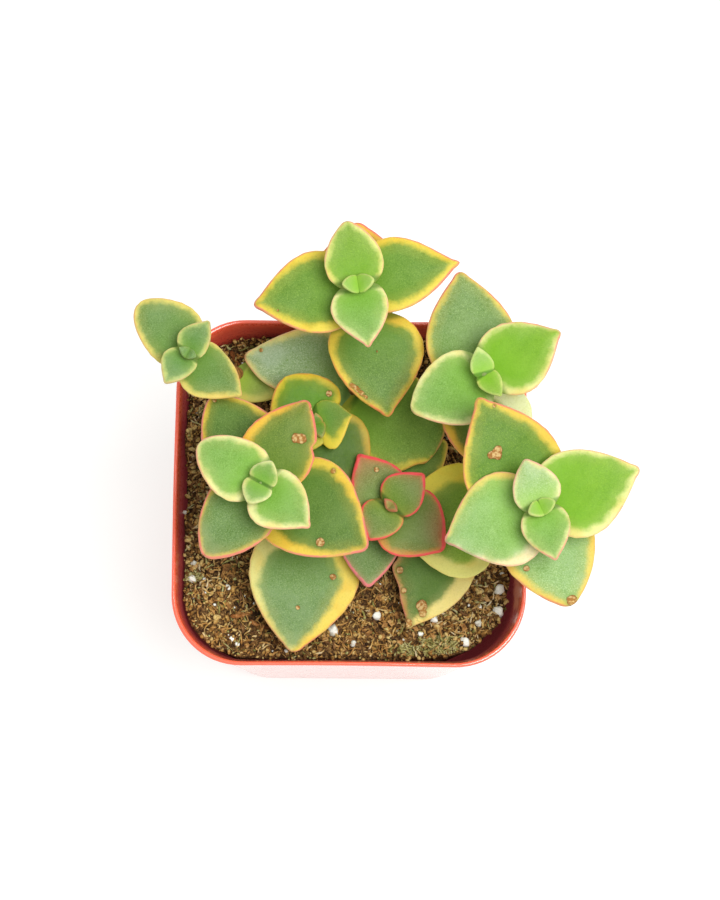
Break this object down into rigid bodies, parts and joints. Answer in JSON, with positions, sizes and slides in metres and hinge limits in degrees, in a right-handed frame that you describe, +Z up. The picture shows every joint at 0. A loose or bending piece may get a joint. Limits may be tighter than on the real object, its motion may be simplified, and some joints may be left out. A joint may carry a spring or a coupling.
{
  "type": "potted variegated crassula pellucida",
  "caption": "Small square plastic nursery pot of dark soil with short succulent stems; fleshy pointed leaves in crossed pairs, green with cream margins and thin pink rims.",
  "frame": {"origin": "centre of the flat underside of the pot", "axes": "+Z up; +X to the right and +Y to the back as the picture shows the pot, square to its sides"},
  "size_m": [0.079, 0.0691, 0.0852],
  "materials": {
    "pot_plastic": "smooth glossy terracotta-red moulded plastic, darker inside",
    "soil_mix": "rough dark peat with brown fibres and pale perlite",
    "leaf_flesh": "satin green leaf flesh with cream to yellow margins, a thin pink rim and fine pale speckles"
  },
  "bodies": {
    "root": {"pot": "pot_plastic", "soil": "soil_mix", "shoot_back": "leaf_flesh", "shoot_back_left": "leaf_flesh", "shoot_back_right": "leaf_flesh", "shoot_right": "leaf_flesh", "shoot_centre": "leaf_flesh", "shoot_left": "leaf_flesh", "shoot_small": "leaf_flesh"}
  },
  "joints": []
}
